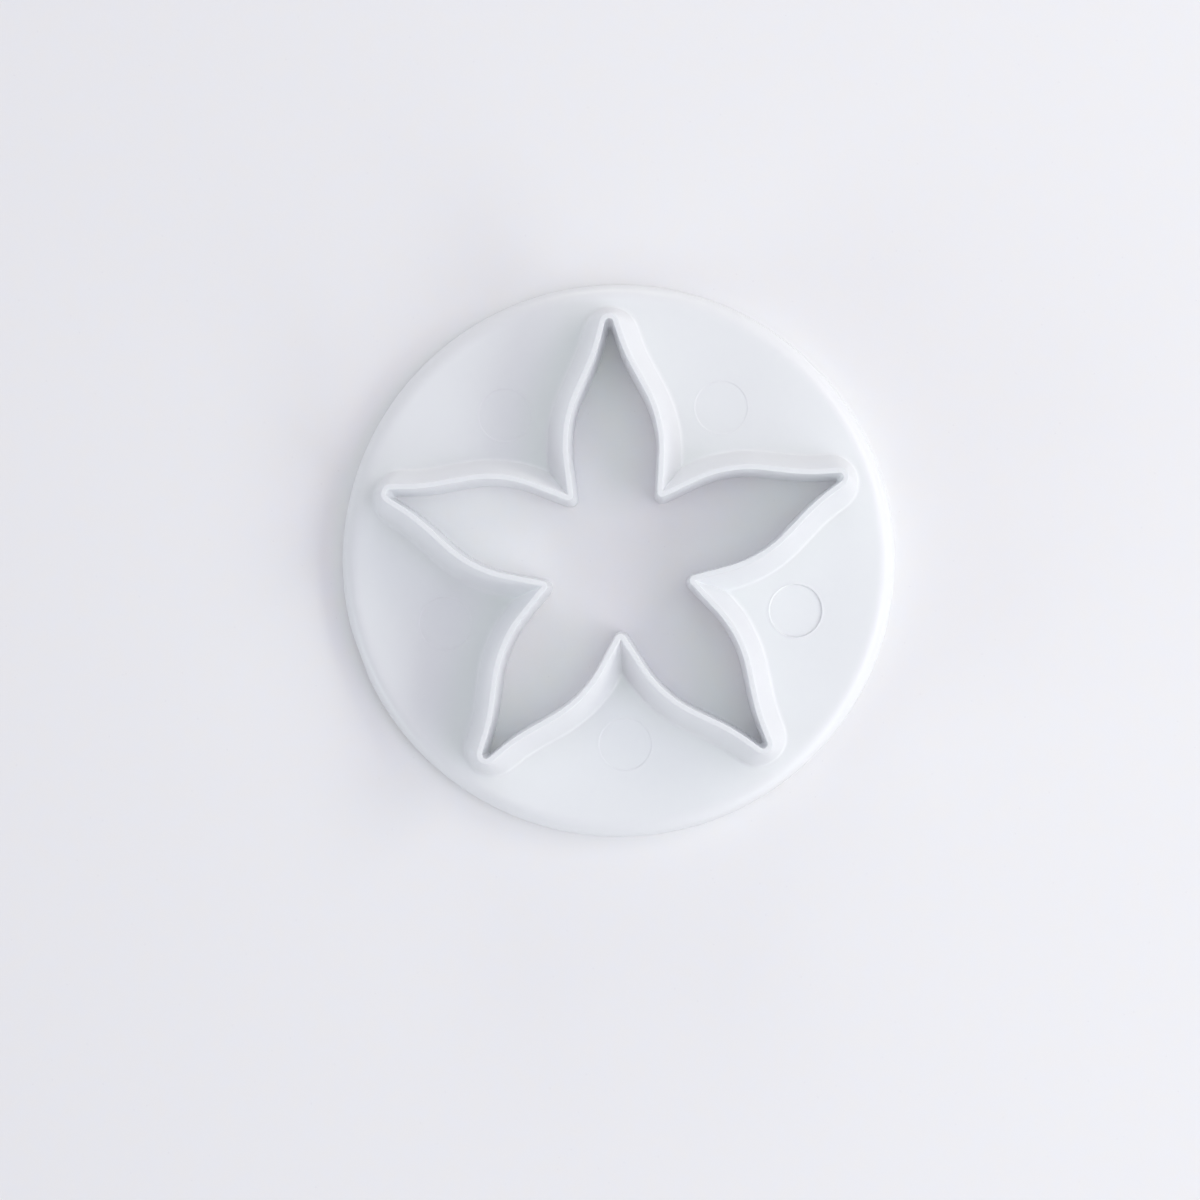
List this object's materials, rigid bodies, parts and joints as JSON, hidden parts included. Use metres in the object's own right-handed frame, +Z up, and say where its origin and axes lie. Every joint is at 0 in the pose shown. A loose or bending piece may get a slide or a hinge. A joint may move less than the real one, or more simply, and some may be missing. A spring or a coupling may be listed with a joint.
{
  "type": "calyx cutter",
  "caption": "Open pastry cutter: a thin calyx-shaped wall stands on a round flange and is pressed through rolled sugar paste to cut out a flower's calyx.",
  "frame": {"origin": "on the table under the centre of the calyx, at the centre of the flange's underside", "axes": "+Z up to the cutting edge, +Y along one petal, +X to the right of that petal seen from the cutting edge"},
  "size_m": [0.0618, 0.0618, 0.0098],
  "materials": {
    "white_plastic": "white moulded plastic, satin, slightly translucent where it is thin"
  },
  "bodies": {
    "root": {"flange": "white_plastic", "cutting_wall": "white_plastic"}
  },
  "joints": []
}
